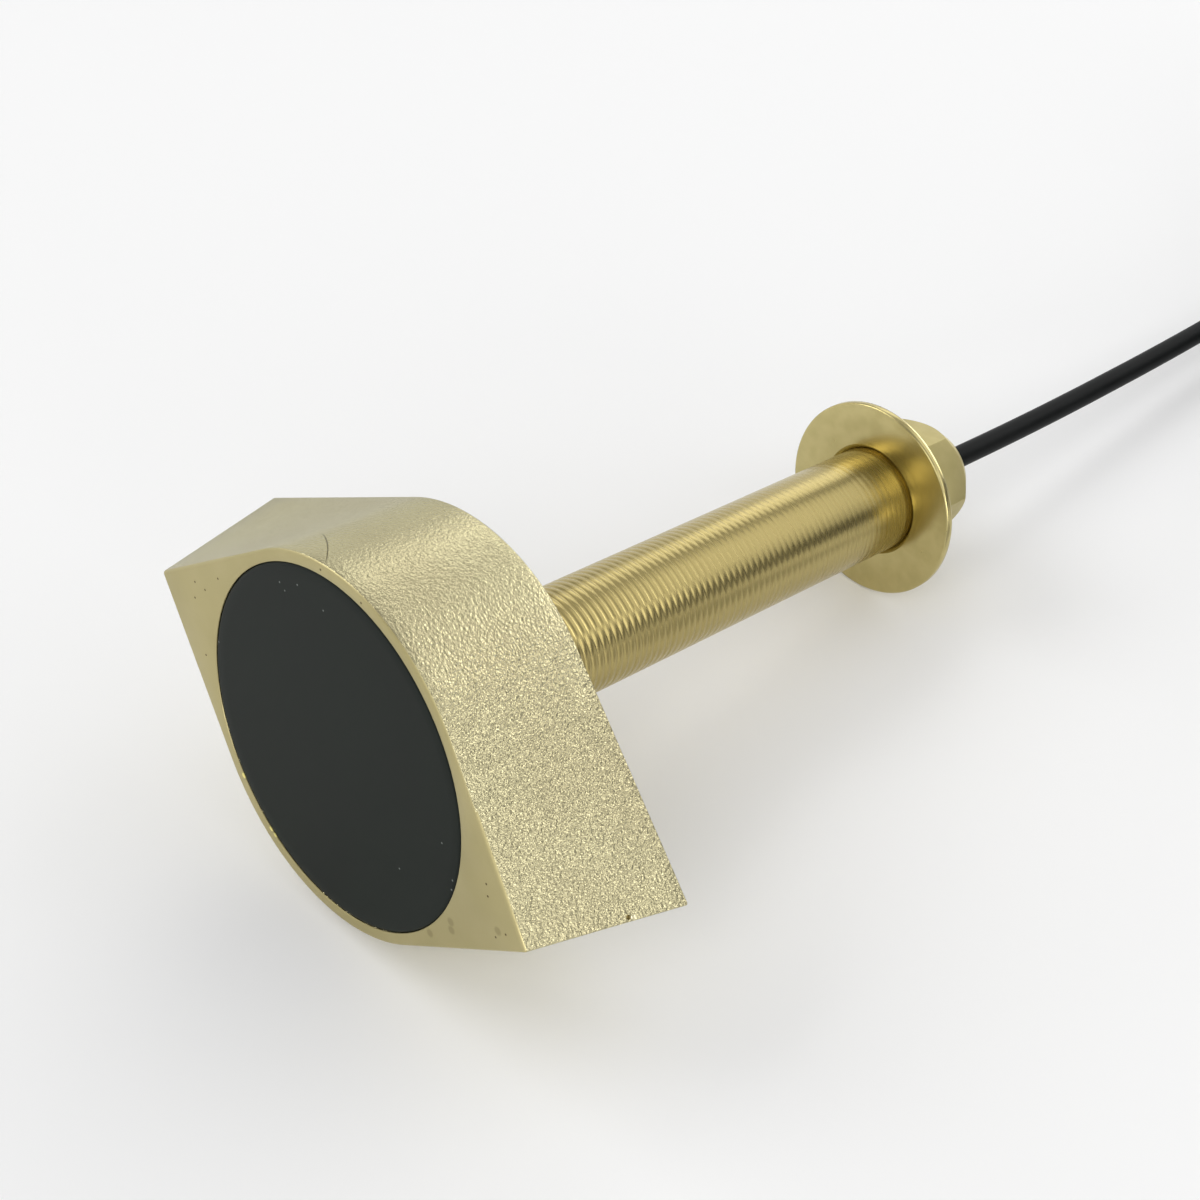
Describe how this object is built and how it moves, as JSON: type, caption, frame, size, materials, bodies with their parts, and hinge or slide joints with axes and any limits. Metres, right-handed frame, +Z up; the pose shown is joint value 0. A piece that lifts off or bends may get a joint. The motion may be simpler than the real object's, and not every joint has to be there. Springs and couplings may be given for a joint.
{
  "type": "sonar transducer",
  "caption": "Through-hull sonar transducer: eye-shaped cast bronze housing with a round black acoustic window, long threaded stem, flanged hull nut, cable gland and a coiled cable with a plug.",
  "frame": {"origin": "on the surface that the part lies on, under the middle of the box round the transducer without its cable", "axes": "+Z up; +Y along the stem as seen from above, from the acoustic window towards the cable; +X to the right of that"},
  "size_m": [0.1774, 0.4616, 0.0864],
  "materials": {
    "cast_bronze": "sand-cast and blasted, grainy satin; front face machined",
    "turned_brass": "turned and threaded, bright satin",
    "nut_brass": "turned satin",
    "window_resin": "moulded black resin, satin",
    "ceramic": "fired ceramic with silvered faces",
    "cork": "pressed cork",
    "potting_resin": "poured resin",
    "live_wire": "insulated wire",
    "return_wire": "insulated wire",
    "seal_rubber": "moulded rubber",
    "cable_jacket": "extruded jacket, satin",
    "tie_fabric": "woven strap",
    "plug_plastic": "moulded, fine matt",
    "insert_plastic": "moulded insulator",
    "contact_brass": "gilt contact"
  },
  "bodies": {
    "root": {"housing": "cast_bronze", "acoustic_window": "window_resin", "piezo_disc": "ceramic", "cork_ring": "cork", "cork_backing": "cork", "potting_block": "potting_resin", "live_lead": "live_wire", "return_lead": "return_wire", "threaded_stem": "turned_brass", "hull_nut": "nut_brass", "gland_nut": "nut_brass", "gland_washer": "nut_brass", "gland_grommet": "seal_rubber", "stem_cable": "cable_jacket", "cable_lead": "cable_jacket", "cable_coil": "cable_jacket", "coil_tie": "tie_fabric", "cable_tail": "cable_jacket", "plug_boot": "seal_rubber", "plug_shell": "plug_plastic", "plug_insert": "insert_plastic", "plug_contacts": "contact_brass", "plug_seal": "seal_rubber"}
  },
  "joints": []
}
